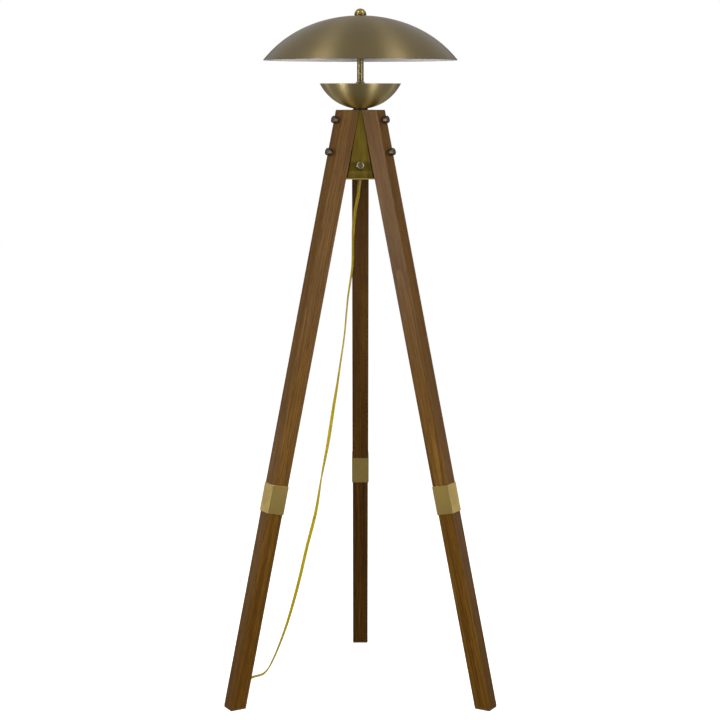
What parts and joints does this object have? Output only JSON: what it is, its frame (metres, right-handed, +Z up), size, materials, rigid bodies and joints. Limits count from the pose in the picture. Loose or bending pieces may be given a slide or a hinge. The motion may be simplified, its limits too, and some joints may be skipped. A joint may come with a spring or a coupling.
{
  "type": "tripod floor lamp",
  "caption": "Floor lamp with a wide domed brass shade over a shallow bowl, on three square walnut-stained legs bolted to a tapered brass hub, with a rotary switch and a gold cord.",
  "frame": {"origin": "middle of the lamp's box, without its free cord, at the floor", "axes": "+Z up; +Y towards the rear leg; the switch knob faces -Y; the lamp's own axis stands at x = 0, y = -0.06072 m"},
  "size_m": [0.5794, 0.5294, 1.4695],
  "materials": {
    "shade_brass": "brushed antique brass outside, white lacquer inside",
    "bowl_brass": "brushed antique brass",
    "trim_brass": "brushed antique brass",
    "hub_brass": "dark antique brass",
    "ferrule_brass": "brushed brass",
    "bronze": "dark bronze",
    "walnut": "walnut stain, satin lacquer",
    "felt": "dark felt",
    "zinc_steel": "zinc plated",
    "knob_metal": "satin, dished",
    "ceramic": "glazed ceramic",
    "bulb_glass": "frosted",
    "gold_pvc": "clear gold PVC",
    "dark_plastic": "dark brown",
    "insulation": "black"
  },
  "bodies": {
    "stand": {"shade": "shade_brass", "bowl": "bowl_brass", "shade_seat": "trim_brass", "centre_rod": "trim_brass", "rod_collar": "trim_brass", "cluster_body": "trim_brass", "lamp_pipe": "zinc_steel", "bowl_locknut": "zinc_steel", "hub": "hub_brass", "hub_bottom_plate": "hub_brass", "plate_screw_1": "zinc_steel", "plate_screw_2": "zinc_steel", "plate_screw_3": "zinc_steel", "switch_nut": "trim_brass", "switch_body": "dark_plastic", "cord_bushing": "dark_plastic", "plug_body": "dark_plastic", "plug_blade_1": "trim_brass", "plug_blade_2": "trim_brass", "leg_upper_rear": "walnut", "leg_lower_rear": "walnut", "leg_ferrule_rear": "ferrule_brass", "leg_stud_rear": "zinc_steel", "foot_pad_rear": "felt", "leg_bolt_rear_upper": "bronze", "leg_bolt_rear_lower": "bronze", "leg_upper_left": "walnut", "leg_lower_left": "walnut", "leg_ferrule_left": "ferrule_brass", "leg_stud_left": "zinc_steel", "foot_pad_left": "felt", "leg_bolt_left_upper": "bronze", "leg_bolt_left_lower": "bronze", "leg_upper_right": "walnut", "leg_lower_right": "walnut", "leg_ferrule_right": "ferrule_brass", "leg_stud_right": "zinc_steel", "foot_pad_right": "felt", "leg_bolt_right_upper": "bronze", "leg_bolt_right_lower": "bronze", "lampholder_1": "ceramic", "lampholder_2": "ceramic", "lampholder_3": "ceramic", "bowl_washer": "insulation", "inner_lead_supply": "insulation", "inner_lead_riser": "insulation", "hank_tie": "insulation", "cord_strain_relief": "gold_pvc", "power_cord": "gold_pvc", "cord_tail": "gold_pvc", "cord_hank": "gold_pvc"},
    "switch_knob": {"switch_knob": "knob_metal"},
    "finial": {"finial": "trim_brass"},
    "bulb_1": {"bulb_1": "bulb_glass"},
    "bulb_2": {"bulb_2": "bulb_glass"},
    "bulb_3": {"bulb_3": "bulb_glass"}
  },
  "joints": [
    {"name": "switch_turn", "type": "hinge", "parent": "stand", "child": "switch_knob", "pos_m": [0, -0.09415, 1.1439], "axis": [0, -0.994, 0.1096], "continuous": true},
    {"name": "finial_unscrew", "type": "hinge", "parent": "stand", "child": "finial", "pos_m": [0, -0.06072, 1.46], "axis": [0, 0, 1], "continuous": true},
    {"name": "bulb_1_pull", "type": "slide", "parent": "stand", "child": "bulb_1", "axis": [0.7849, 0.4532, 0.4226], "range_m": [0, 0.012]},
    {"name": "bulb_2_pull", "type": "slide", "parent": "stand", "child": "bulb_2", "axis": [-0.7849, 0.4532, 0.4226], "range_m": [0, 0.012]},
    {"name": "bulb_3_pull", "type": "slide", "parent": "stand", "child": "bulb_3", "axis": [0, -0.9063, 0.4226], "range_m": [0, 0.012]}
  ]
}
